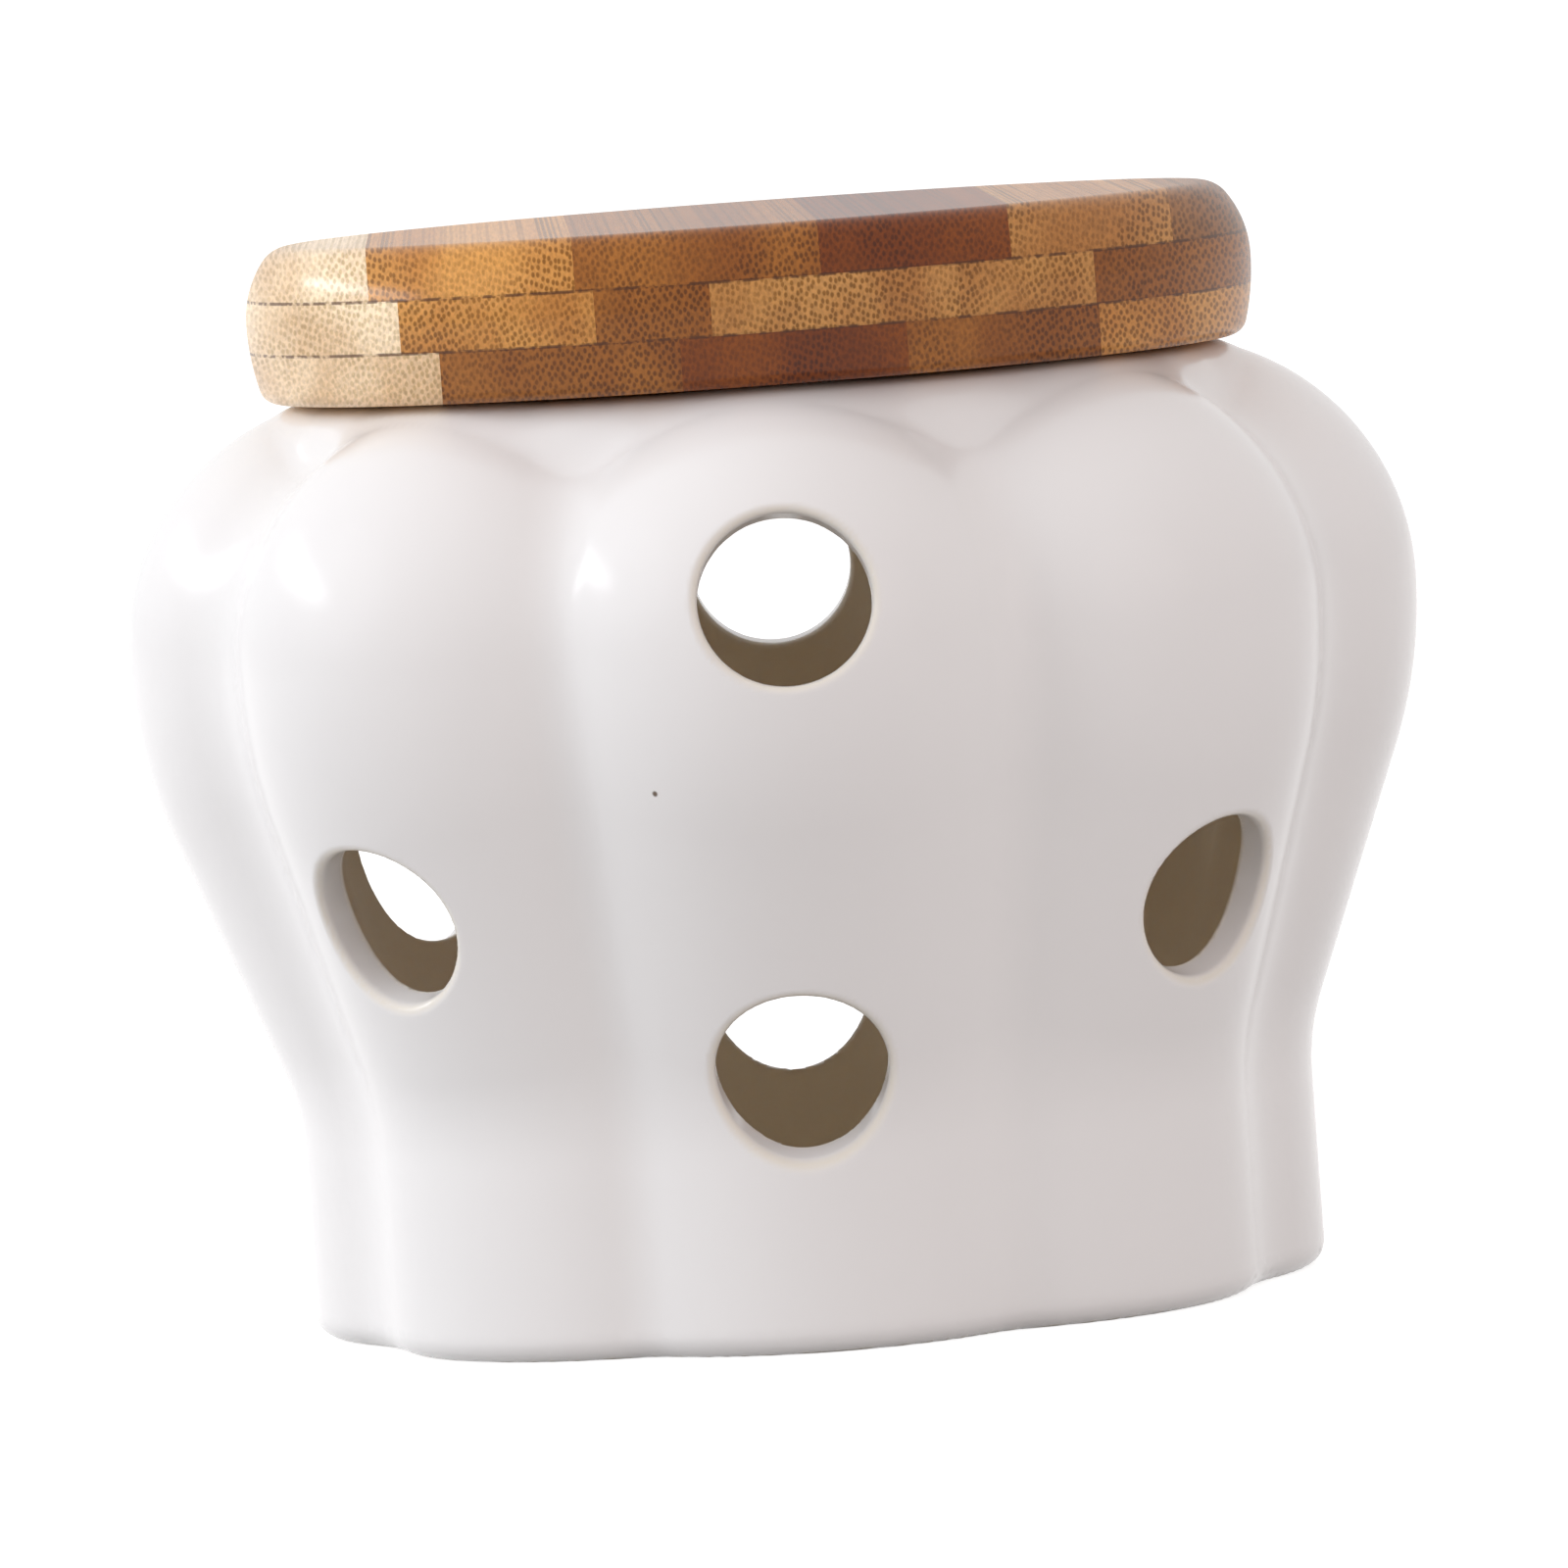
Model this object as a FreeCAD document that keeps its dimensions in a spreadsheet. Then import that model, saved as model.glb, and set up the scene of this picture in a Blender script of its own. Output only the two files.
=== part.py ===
"""Garlic keeper: a slip-cast, lobed stoneware pot with round vents, closed by a turned bamboo lid.

Millimetres, +Z up. The origin is the centre of the pot's foot, on the surface that it stands on. A lobe
points along -Y, which is the front, and another along +X. The bamboo slats run along Y. Every size is a
cell of the sheet "sizes", and each piece is bound to those cells.
"""
import FreeCAD, Part
import math
import os
import Sketcher

Constraint = Sketcher.Constraint
Vector = FreeCAD.Vector
UP = Vector(0, 0, 1)
NEAR = 0.01

# Name, value in mm or degrees, meaning.
SIZES = [
    ("lobe_count", 8, "lobes round the pot"),
    ("lobe_radius", 25.4, "each lobe is a round bar of this radius, with a ball end at the top"),
    ("foot_reach", 25.6, "pot's axis to the bar's centreline at the foot"),
    ("belly_reach", 39.5, "pot's axis to that centreline at the belly"),
    ("foot_straight", 19.4, "height of the plumb stretch above the foot"),
    ("flare_bend", 48.3, "centreline's bend out of the plumb stretch"),
    ("belly_bend", 22.8, "centreline's bend into the belly"),
    ("belly_drop", 25.2, "rim down to the belly, the ball's centre"),
    ("pot_height", 94.1, "foot to rim, where the lid rests"),
    ("valley_round", 4.5, "radius in the valley between two lobes"),
    ("wall", 3.8, "cast wall, glaze included"),
    ("floor_thickness", 4.0, "clay under the cavity, above the foot's recess"),
    ("mouth_radius", 40.5, "bore of the mouth"),
    ("neck_width", 9.0, "round neck outside the mouth's bore, seen in the valleys"),
    ("neck_round", 5.5, "rounded upper edge of the neck"),
    ("mouth_lip", 0.8, "glazed bevel inside the rim"),
    ("foot_round", 2.6, "rounded edge under the foot"),
    ("recess_radius", 41.0, "recess under the foot"),
    ("recess_depth", 1.2, "depth of that recess"),
    ("vent_radius", 8.4, "bore of each vent"),
    ("vent_lip", 0.8, "glazed bevel round each vent"),
    ("ply", 5.2, "thickness of one ply of the bamboo board"),
    ("lid_overhang", 10.0, "lid's widest line, outside the mouth's bore"),
    ("lid_widest", 8.0, "that line's height above the lid's underside"),
    ("crown_run", 4.8, "how far the lid's upper rounding reaches in"),
    ("crown_round", 3.4, "tighter radius of that rounding, at the top face"),
    ("flank_round", 25.0, "curve of the lid's edge below its widest line"),
    ("edge_round", 1.8, "radius of the lid's lower edge"),
    ("plug_depth", 9.0, "locating plug below the lid's underside"),
    ("plug_clearance", 1.5, "plug to the mouth's bore, on the radius"),
    ("plug_chamfer", 1.0, "chamfer under the plug"),
    ("seal_groove_top", 2.8, "lid's underside to the seal's groove"),
    ("seal_groove_height", 3.5, "height of that groove"),
    ("seal_groove_depth", 2.6, "depth of that groove"),
    ("seal_gap", 0.2, "free space all round the relaxed seal"),
]

# Vents, cut by hand a little off level: azimuth from +X in degrees, and height above the foot on the
# lobe's crest. The lobes along X have none.
VENTS = {
    "front_upper_vent": (270.0, 74.6),
    "front_lower_vent": (268.5, 27.2),
    "front_left_vent": (225.0, 43.6),
    "front_right_vent": (315.0, 40.6),
    "back_upper_vent": (88.6, 71.6),
    "back_lower_vent": (90.0, 26.3),
    "back_left_vent": (134.0, 42.6),
    "back_right_vent": (45.0, 46.1),
}

# Glue joints of each ply of the board, distance from the lid's axis along X, lowest ply first. The first
# two plies are turned down to the plug, and the lid's underside lies between the second and the third.
PLIES = {
    "plug_lower": (-19.0, 1.5, 22.5),
    "plug_upper": (-28.5, -8.0, 12.0, 30.0),
    "lid_bottom": (-31.3, -8.0, 14.0, 33.2),
    "lid_middle": (-35.0, -16.0, -4.8, 19.4, 33.0),
    "lid_top": (-37.8, -17.7, 6.1, 24.8, 41.4),
}
PLIES_IN_PLUG = 2
PLIES_IN_LID = 3

doc = FreeCAD.newDocument("garlic_keeper")
sheet = doc.addObject("Spreadsheet::Sheet", "sizes")


def fill_sheet():
    """Write each size on a row of its own: name, value and meaning, the name as the value's alias."""
    joints = [
        (f"{ply}_joint_{number}", place, "glue joint, from the lid's axis")
        for ply, places in PLIES.items()
        for number, place in enumerate(places, 1)
    ]
    vents = [
        cell
        for name, (azimuth, level) in VENTS.items()
        for cell in ((f"{name}_azimuth", azimuth, "from +X"), (f"{name}_level", level, "foot up to its middle"))
    ]
    for row, (alias, value, meaning) in enumerate(SIZES + vents + joints, 1):
        sheet.set(f"A{row}", alias)
        sheet.set(f"B{row}", str(value))
        sheet.set(f"C{row}", meaning)
        sheet.setAlias(f"B{row}", alias)
    doc.recompute()


def value_of(formula):
    """What a formula over the sheet's cells comes to."""
    return float(sheet.evalExpression(formula))


def bind(item, **formulas):
    for name, formula in formulas.items():
        item.setExpression(name, formula)


def move_to(x="0", y="0", z="0"):
    return f"placement(vector({x}; {y}; {z}); rotation(vector(0; 0; 1); 0))"


def turn(angle, axis):
    return f"placement(vector(0; 0; 0); rotation(vector({axis}); {angle}))"


def origin_item(body, role):
    return next(item for item in body.Origin.OriginFeatures if item.Role == role)


def new_body(name):
    body = doc.addObject("PartDesign::Body", name)
    body.Label = name
    return body


def new_sketch(body, name, role):
    sketch = body.newObject("Sketcher::SketchObject", name)
    sketch.AttachmentSupport = [(origin_item(body, role), "")]
    sketch.MapMode = "FlatFace"
    return sketch


def add_sizes(sketch, sized):
    """Add the constraints that carry a size, each bound to its formula."""
    for name, (constraint, formula) in sized.items():
        index = sketch.addConstraint(constraint)
        sketch.renameConstraint(index, name)
        sketch.setExpression(f"Constraints.{name}", formula)


def add_feature(body, kind, name, **formulas):
    feature = body.newObject(kind, name)
    bind(feature, **formulas)
    body.Tip = feature
    doc.recompute()
    return feature


def repeat_lobe(body):
    """Repeat the whole wedge round the pot's axis."""
    pattern = body.newObject("PartDesign::PolarPattern", "all_lobes")
    pattern.TransformMode = "Whole shape"
    pattern.Axis = (origin_item(body, "Z_Axis"), [""])
    pattern.Angle = 360
    bind(pattern, Occurrences="sizes.lobe_count")
    body.Tip = pattern
    doc.recompute()


def dress_edges(body, kind, name, wanted, **size):
    """Fillet or chamfer the wanted edges of what the body is so far."""
    base = body.Tip
    edges = [f"Edge{number}" for number, edge in enumerate(base.Shape.Edges, 1) if wanted(edge)]
    dressing = body.newObject(f"PartDesign::{kind}", name)
    dressing.Base = (base, edges)
    bind(dressing, **size)
    body.Tip = dressing
    doc.recompute()


def middle_of(edge):
    return edge.valueAt(0.5 * (edge.FirstParameter + edge.LastParameter))


# ---- pot -------------------------------------------------------------------------------------------

RIM = "sizes.pot_height"
FLOOR = "(sizes.recess_depth + sizes.floor_thickness)"
BELLY = "(sizes.pot_height - sizes.belly_drop)"
NECK = "(sizes.mouth_radius + sizes.neck_width)"


def centreline_sketch(body, name, start):
    """Centreline of a lobe's bar in the XZ plane, from the level start up to the belly: plumb, bent
    outwards, straight, and bent back to plumb."""
    sketch = new_sketch(body, name, "XZ_Plane")
    foot_x, foot_top = value_of("sizes.foot_reach"), value_of("sizes.foot_straight")
    belly_x, belly_z = value_of("sizes.belly_reach"), value_of(BELLY)
    flare, belly = value_of("sizes.flare_bend"), value_of("sizes.belly_bend")
    flare_centre = Vector(foot_x + flare, foot_top)
    belly_centre = Vector(belly_x - belly, belly_z)
    across = belly_centre - flare_centre
    bends = flare + belly
    straight = math.sqrt(across.Length**2 - bends**2)
    lean = math.atan2(straight * across.x + bends * across.y, straight * across.y - bends * across.x)
    inward = Vector(math.cos(lean), -math.sin(lean))
    low, high = flare_centre - inward * flare, belly_centre + inward * belly
    flare_circle = Part.Circle(flare_centre, UP, flare)
    belly_circle = Part.Circle(belly_centre, UP, belly)
    plumb = sketch.addGeometry(Part.LineSegment(Vector(foot_x, value_of(start)), Vector(foot_x, foot_top)))
    bend_out = sketch.addGeometry(Part.ArcOfCircle(flare_circle, math.pi - lean, math.pi))
    slope = sketch.addGeometry(Part.LineSegment(low, high))
    bend_back = sketch.addGeometry(Part.ArcOfCircle(belly_circle, -lean, 0))
    sketch.addConstraint([
        Constraint("Vertical", plumb),
        Constraint("Tangent", plumb, 2, bend_out, 2),
        Constraint("Tangent", bend_out, 1, slope, 1),
        Constraint("Tangent", slope, 2, bend_back, 1),
        Constraint("Horizontal", bend_back, 3, bend_back, 2),
    ])
    add_sizes(sketch, {
        "start": (Constraint("DistanceY", -1, 1, plumb, 1, value_of(start)), start),
        "foot_reach": (Constraint("DistanceX", -1, 1, plumb, 1, foot_x), "sizes.foot_reach"),
        "foot_straight": (Constraint("DistanceY", -1, 1, plumb, 2, foot_top), "sizes.foot_straight"),
        "flare_bend": (Constraint("Radius", bend_out, flare), "sizes.flare_bend"),
        "belly_bend": (Constraint("Radius", bend_back, belly), "sizes.belly_bend"),
        "belly_reach": (Constraint("DistanceX", -1, 1, bend_back, 2, belly_x), "sizes.belly_reach"),
        "belly_level": (Constraint("DistanceY", -1, 1, bend_back, 2, belly_z), BELLY),
    })
    for name, constraint in {
        "slope_lean": Constraint("Angle", slope, 1, -2, 1, lean),
        "slope_x": Constraint("DistanceX", -1, 1, slope, 1, low.x),
        "slope_z": Constraint("DistanceY", -1, 1, slope, 1, low.y),
    }.items():
        measured = sketch.addConstraint(constraint)
        sketch.setDriving(measured, False)
        sketch.renameConstraint(measured, name)
    return sketch


def section_sketch(body, name, level, radius):
    """Round section of a lobe's bar where its centreline starts."""
    sketch = new_sketch(body, name, "XY_Plane")
    bind(sketch, **{"AttachmentOffset.Base.z": level})
    centre = Vector(value_of("sizes.foot_reach"), 0)
    circle = sketch.addGeometry(Part.Circle(centre, UP, value_of(radius)))
    sketch.addConstraint(Constraint("PointOnObject", circle, 3, -1))
    add_sizes(sketch, {
        "reach": (Constraint("DistanceX", -1, 1, circle, 3, centre.x), "sizes.foot_reach"),
        "radius": (Constraint("Radius", circle, value_of(radius)), radius),
    })
    return sketch


def lobe(body, kind, name, start, radius):
    """A bent bar with a ball end, added to the body or taken out of it."""
    bar = body.newObject(f"PartDesign::{kind}Pipe", f"{name}_bar")
    bar.Profile = (section_sketch(body, f"{name}_section", start, radius), [""])
    bar.Spine = (centreline_sketch(body, f"{name}_centreline", start), [""])
    body.Tip = bar
    doc.recompute()
    add_feature(body, f"PartDesign::{kind}Sphere", f"{name}_ball", Radius=radius,
                Placement=move_to(x="sizes.belly_reach", z=BELLY))


def cylinder(body, kind, name, radius, bottom, top):
    add_feature(body, f"PartDesign::{kind}Cylinder", name, Radius=radius, Height=f"{top} - {bottom}",
                Placement=move_to(z=bottom))


def cut_beyond(body, name, side):
    """Take away all that lies past one side of the lobe's own share of the circle."""
    width = "2 * (sizes.belly_reach + sizes.lobe_radius)"
    outside = "0" if side > 0 else f"-{width}"
    place = f"{turn(f'{side} * 180 / sizes.lobe_count', '0; 0; 1')} * {move_to(x=f'-{width} / 2', y=outside)}"
    add_feature(body, "PartDesign::SubtractiveBox", name, Length=width, Width=width,
                Height=f"{RIM} + sizes.lobe_radius", Placement=place)


def in_valley(edge):
    """Whether an edge lies between two lobes, outside the neck."""
    middle, pitch = middle_of(edge), 360 / value_of("sizes.lobe_count")
    azimuth = math.degrees(math.atan2(middle.y, middle.x)) % pitch
    outside = math.hypot(middle.x, middle.y) > value_of(NECK) + NEAR and middle.z > NEAR
    return abs(azimuth - pitch / 2) < NEAR and outside


def under_foot(edge):
    middle = middle_of(edge)
    return abs(middle.z) < NEAR and math.hypot(middle.x, middle.y) > value_of("sizes.recess_radius") + NEAR


def on_vent_lip(edge):
    """Whether an edge is where a vent's bore opens on the outside."""
    outer_half = value_of("sizes.lobe_radius - 0.8 * sizes.wall")
    bores = [face.Surface for face in doc.getObject("pot").Tip.Shape.ancestorsOfType(edge, Part.Face)
             if isinstance(face.Surface, Part.Cylinder)
             and abs(face.Surface.Radius - value_of("sizes.vent_radius")) < NEAR]
    return len(bores) == 1 and abs((middle_of(edge) - bores[0].Center).dot(bores[0].Axis)) > outer_half


def on_mouth_lip(edge):
    middle = middle_of(edge)
    at_bore = abs(math.hypot(middle.x, middle.y) - value_of("sizes.mouth_radius")) < NEAR
    return at_bore and abs(middle.z - value_of(RIM)) < NEAR


def on_neck_edge(edge):
    return abs(middle_of(edge).z - value_of(RIM)) < NEAR


def on_ball(level):
    """Start and lean of a bore through the ball's centre that meets the crest at level."""
    return "sizes.belly_reach", BELLY, f"asin(({level} - {BELLY}) / sizes.lobe_radius) / 1 deg"


def on_slope(level):
    """Start on the bar's centreline and lean of a bore square to the slope that meets the crest at level."""
    lean = "(outer_centreline.Constraints.slope_lean / 1 deg)"
    low_x, low_z = (f"outer_centreline.Constraints.{name} / 1 mm" for name in ("slope_x", "slope_z"))
    z = f"({level} + sizes.lobe_radius * sin({lean}))"
    x = f"({low_x} + ({z} - {low_z}) * tan({lean}))"
    return x, z, f"-{lean}"


def vent(body, name):
    """Bore from a lobe's centreline out through the wall, square to the crest."""
    azimuth, level = f"sizes.{name}_azimuth", f"sizes.{name}_level"
    x, z, lean = (on_ball if value_of(level) > value_of(BELLY) else on_slope)(level)
    place = f"{turn(azimuth, '0; 0; 1')} * {move_to(x=x, z=z)} * {turn(f'90 - {lean}', '0; 1; 0')}"
    add_feature(body, "PartDesign::SubtractiveCylinder", name, Radius="sizes.vent_radius",
                Height="2 * sizes.lobe_radius", Placement=place)


def make_pot():
    """One casting. The lobes close in to a round neck, the rim is ground flat, and the cavity lies one wall
    inside lobes and neck. A recess leaves a foot ring. The front and back lobes have two vents each, and
    the four lobes between those along X and Y have one."""
    body = new_body("pot")
    cylinder(body, "Additive", "neck", NECK, BELLY, RIM)
    dress_edges(body, "Fillet", "neck_edge", on_neck_edge, Radius="sizes.neck_round")
    cylinder(body, "Additive", "floor", "sizes.recess_radius", "0", FLOOR)
    lobe(body, "Additive", "outer", "0", "sizes.lobe_radius")
    cylinder(body, "Subtractive", "rim_face", "2 * sizes.belly_reach", RIM, f"({RIM} + sizes.lobe_radius)")
    lobe(body, "Subtractive", "inner", FLOOR, "sizes.lobe_radius - sizes.wall")
    cylinder(body, "Subtractive", "inner_neck", f"{NECK} - sizes.wall", BELLY, f"({RIM} - sizes.wall)")
    cylinder(body, "Subtractive", "mouth", "sizes.mouth_radius", FLOOR, RIM)
    cylinder(body, "Subtractive", "recess", "sizes.recess_radius", "0", "sizes.recess_depth")
    cut_beyond(body, "left_side", 1)
    cut_beyond(body, "right_side", -1)
    repeat_lobe(body)
    dress_edges(body, "Fillet", "valleys", in_valley, Radius="sizes.valley_round")
    dress_edges(body, "Fillet", "foot_edge", under_foot, Radius="sizes.foot_round")
    for name in VENTS:
        vent(body, name)
    dress_edges(body, "Chamfer", "vent_lips", on_vent_lip, Size="sizes.vent_lip")
    dress_edges(body, "Chamfer", "mouth_lip", on_mouth_lip, Size="sizes.mouth_lip")
    return body


# ---- lid -------------------------------------------------------------------------------------------

LID_RADIUS = "(sizes.mouth_radius + sizes.lid_overhang)"
LID_THICKNESS = f"({PLIES_IN_LID} * sizes.ply)"
PLUG_RADIUS = "(sizes.mouth_radius - sizes.plug_clearance)"
GROOVE_RADIUS = f"({PLUG_RADIUS} - sizes.seal_groove_depth)"


def make_blank():
    """Outline of the lid and its plug, turned about the lid's axis. The sketch's origin is at the middle of
    the lid's underside."""
    body = new_body("turned_blank")
    sketch = new_sketch(body, "blank_outline", "XZ_Plane")
    bind(sketch, **{"AttachmentOffset.Base.y": RIM})
    radius, top = value_of(LID_RADIUS), value_of(LID_THICKNESS)
    run, tight = value_of("sizes.crown_run"), value_of("sizes.crown_round")
    widest, flank, edge = (value_of(f"sizes.{name}") for name in ("lid_widest", "flank_round", "edge_round"))
    drop = top - widest
    slack = ((run**2 + drop**2) / 2 - drop * tight) / (run - tight)
    tight_centre = Vector(radius - run, top - tight)
    slack_centre = Vector(radius - slack, widest)
    flank_centre = Vector(radius - flank, widest)
    meet = math.atan2(tight_centre.y - slack_centre.y, tight_centre.x - slack_centre.x)
    dip = math.asin((widest - edge) / (flank - edge))
    edge_centre = flank_centre + Vector(math.cos(dip), -math.sin(dip)) * (flank - edge)
    plug, groove = value_of(PLUG_RADIUS), value_of(GROOVE_RADIUS)
    depth, chamfer = value_of("sizes.plug_depth"), value_of("sizes.plug_chamfer")
    groove_top = value_of("sizes.seal_groove_top")
    groove_foot = groove_top + value_of("sizes.seal_groove_height")
    corners = [Vector(x, y) for x, y in (
        (plug, 0), (plug, -groove_top), (groove, -groove_top), (groove, -groove_foot), (plug, -groove_foot),
        (plug, chamfer - depth), (plug - chamfer, -depth), (0, -depth), (0, top), (tight_centre.x, top))]
    lines = [sketch.addGeometry(Part.LineSegment(*ends)) for ends in zip(corners, corners[1:])]
    crown = sketch.addGeometry(Part.ArcOfCircle(Part.Circle(tight_centre, UP, tight), meet, math.pi / 2))
    shoulder = sketch.addGeometry(Part.ArcOfCircle(Part.Circle(slack_centre, UP, slack), 0, meet))
    side = sketch.addGeometry(Part.ArcOfCircle(Part.Circle(flank_centre, UP, flank), -dip, 0))
    lower = sketch.addGeometry(Part.ArcOfCircle(Part.Circle(edge_centre, UP, edge), -math.pi / 2, -dip))
    under = sketch.addGeometry(Part.LineSegment(Vector(edge_centre.x, 0), corners[0]))
    wall, groove_roof, groove_wall, groove_floor, skirt, bevel, bottom, axis, face = lines
    sketch.addConstraint([
        *(Constraint("Coincident", first, 2, second, 1) for first, second in zip(lines, lines[1:])),
        Constraint("Tangent", face, 2, crown, 2),
        Constraint("Tangent", crown, 1, shoulder, 2),
        Constraint("Tangent", shoulder, 1, side, 2),
        Constraint("Tangent", side, 1, lower, 2),
        Constraint("Tangent", lower, 1, under, 1),
        Constraint("Coincident", under, 2, wall, 1),
        *(Constraint("Horizontal", line) for line in (groove_roof, groove_floor, bottom, face)),
        *(Constraint("Vertical", line) for line in (wall, groove_wall, skirt)),
        Constraint("PointOnObject", axis, 1, -2),
        Constraint("PointOnObject", axis, 2, -2),
        Constraint("PointOnObject", under, 1, -1),
        Constraint("PointOnObject", under, 2, -1),
        Constraint("Horizontal", shoulder, 3, shoulder, 1),
        Constraint("Vertical", wall, 2, groove_floor, 2),
    ])
    add_sizes(sketch, {
        "thickness": (Constraint("DistanceY", -1, 1, face, 1, top), LID_THICKNESS),
        "radius": (Constraint("DistanceX", -1, 1, shoulder, 1, radius), LID_RADIUS),
        "widest": (Constraint("DistanceY", -1, 1, shoulder, 1, widest), "sizes.lid_widest"),
        "crown_run": (Constraint("DistanceX", face, 2, shoulder, 1, run), "sizes.crown_run"),
        "crown_round": (Constraint("Radius", crown, tight), "sizes.crown_round"),
        "flank_round": (Constraint("Radius", side, flank), "sizes.flank_round"),
        "edge_round": (Constraint("Radius", lower, edge), "sizes.edge_round"),
        "plug_radius": (Constraint("DistanceX", -1, 1, wall, 1, plug), PLUG_RADIUS),
        "groove_radius": (Constraint("DistanceX", -1, 1, groove_wall, 1, groove), GROOVE_RADIUS),
        "groove_top": (Constraint("DistanceY", wall, 2, wall, 1, groove_top), "sizes.seal_groove_top"),
        "groove_height": (Constraint("DistanceY", groove_wall, 2, groove_wall, 1, groove_foot - groove_top),
                          "sizes.seal_groove_height"),
        "plug_depth": (Constraint("DistanceY", axis, 1, -1, 1, depth), "sizes.plug_depth"),
        "chamfer_run": (Constraint("DistanceX", bevel, 2, bevel, 1, chamfer), "sizes.plug_chamfer"),
        "chamfer_rise": (Constraint("DistanceY", bevel, 2, bevel, 1, chamfer), "sizes.plug_chamfer"),
    })
    return revolve(body, sketch)


def revolve(body, sketch):
    turned = body.newObject("PartDesign::Revolution", f"{body.Name}_turned")
    turned.Profile = (sketch, [""])
    turned.ReferenceAxis = (sketch, ["V_Axis"])
    turned.Angle = 360
    body.Tip = turned
    doc.recompute()
    return body


def make_slats(blank):
    """The lid is turned from a block of bamboo plies. Each slat is the part of the turned blank between two
    glue joints and two ply faces."""
    slats = []
    for level, (ply, joints) in enumerate(PLIES.items(), -PLIES_IN_PLUG):
        half = LID_RADIUS if level >= 0 else PLUG_RADIUS
        sides = [f"-{half}", *(f"sizes.{ply}_joint_{number}" for number in range(1, len(joints) + 1)), half]
        low = f"{RIM} + {level} * sizes.ply" if level > -PLIES_IN_PLUG else f"{RIM} - sizes.plug_depth"
        high = f"{RIM} + {level + 1} * sizes.ply"
        for number, (left, right) in enumerate(zip(sides, sides[1:]), 1):
            name = f"{ply}_slat_{number}"
            plank = doc.addObject("Part::Box", f"{name}_plank")
            bind(plank, Length=f"{right} - ({left})", Width=f"2 * {half}", Height=f"{high} - ({low})",
                 Placement=move_to(x=left, y=f"-{half}", z=low))
            slat = doc.addObject("Part::Common", name)
            slat.Label = name
            slat.Base, slat.Tool = blank, plank
            slats.append(slat)
    doc.recompute()
    return slats


def make_seal():
    """Silicone ring in the plug's groove, its outer edge half round. It stands proud of the plug, just clear
    of the mouth's bore."""
    body = new_body("seal_ring")
    sketch = new_sketch(body, "seal_section", "XZ_Plane")
    bind(sketch, **{"AttachmentOffset.Base.y": f"{RIM} - sizes.seal_groove_top - sizes.seal_groove_height / 2"})
    height = "(sizes.seal_groove_height - 2 * sizes.seal_gap)"
    inner, outer = f"({GROOVE_RADIUS} + sizes.seal_gap)", "(sizes.mouth_radius - sizes.seal_gap)"
    half, left, right = value_of(height) / 2, value_of(inner), value_of(outer)
    centre = Vector(right - half, 0)
    low, high = Vector(centre.x, -half), Vector(centre.x, half)
    nose = sketch.addGeometry(Part.ArcOfCircle(Part.Circle(centre, UP, half), -math.pi / 2, math.pi / 2))
    roof = sketch.addGeometry(Part.LineSegment(high, Vector(left, half)))
    back = sketch.addGeometry(Part.LineSegment(Vector(left, half), Vector(left, -half)))
    base = sketch.addGeometry(Part.LineSegment(Vector(left, -half), low))
    sketch.addConstraint([
        Constraint("Tangent", nose, 2, roof, 1),
        Constraint("Coincident", roof, 2, back, 1),
        Constraint("Coincident", back, 2, base, 1),
        Constraint("Tangent", base, 2, nose, 1),
        Constraint("Horizontal", roof),
        Constraint("Vertical", back),
        Constraint("Horizontal", base),
        Constraint("PointOnObject", nose, 3, -1),
    ])
    add_sizes(sketch, {
        "height": (Constraint("DistanceY", back, 2, back, 1, 2 * half), height),
        "inner": (Constraint("DistanceX", -1, 1, back, 1, left), inner),
        "nose_centre": (Constraint("DistanceX", -1, 1, nose, 3, centre.x), f"{outer} - {height} / 2"),
    })
    return revolve(body, sketch)


def check(pieces):
    """Stop before anything is written if a feature failed or a piece isn't one sound solid."""
    for item in doc.Objects:
        if "Invalid" in item.State or "Error" in item.State:
            raise RuntimeError(f"{item.Name} failed: {item.State}")
    for piece in pieces:
        shape = piece.Shape
        if shape.isNull() or not shape.isValid() or len(shape.Solids) != 1:
            raise RuntimeError(f"{piece.Label} isn't one sound solid")


fill_sheet()
pieces = [make_pot(), *make_slats(make_blank()), make_seal()]
doc.recompute()
check(pieces)
os.makedirs("parts", exist_ok=True)
for piece in pieces:
    piece.Shape.exportStep(f"parts/{piece.Label}.step")
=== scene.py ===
"""Garlic keeper: glazed stoneware pot with eight lobes and round vents, and a lid of laminated bamboo.

The pot's surface is worked out from its form as a distance in millimetres, positive in the air. A lobe is a
round bar whose centreline bends outwards, with a ball end at the top.
"""
import math

import bmesh
import bpy
import numpy as np
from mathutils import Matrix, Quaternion, Vector


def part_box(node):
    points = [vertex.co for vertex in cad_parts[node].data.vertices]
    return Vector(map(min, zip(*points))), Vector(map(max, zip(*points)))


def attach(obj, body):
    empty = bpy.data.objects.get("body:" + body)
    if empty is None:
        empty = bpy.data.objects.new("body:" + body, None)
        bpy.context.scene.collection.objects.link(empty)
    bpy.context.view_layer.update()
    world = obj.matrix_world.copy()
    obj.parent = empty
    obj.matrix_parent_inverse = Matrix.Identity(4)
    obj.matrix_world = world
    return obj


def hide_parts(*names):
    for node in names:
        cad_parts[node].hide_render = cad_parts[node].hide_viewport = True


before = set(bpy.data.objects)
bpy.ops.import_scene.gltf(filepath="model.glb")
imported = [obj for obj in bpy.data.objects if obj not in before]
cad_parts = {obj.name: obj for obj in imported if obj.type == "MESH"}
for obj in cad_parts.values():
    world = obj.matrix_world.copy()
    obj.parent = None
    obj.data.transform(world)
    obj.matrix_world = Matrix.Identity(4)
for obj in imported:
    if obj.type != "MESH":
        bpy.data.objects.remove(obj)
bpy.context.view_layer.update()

MM = 0.001


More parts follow.
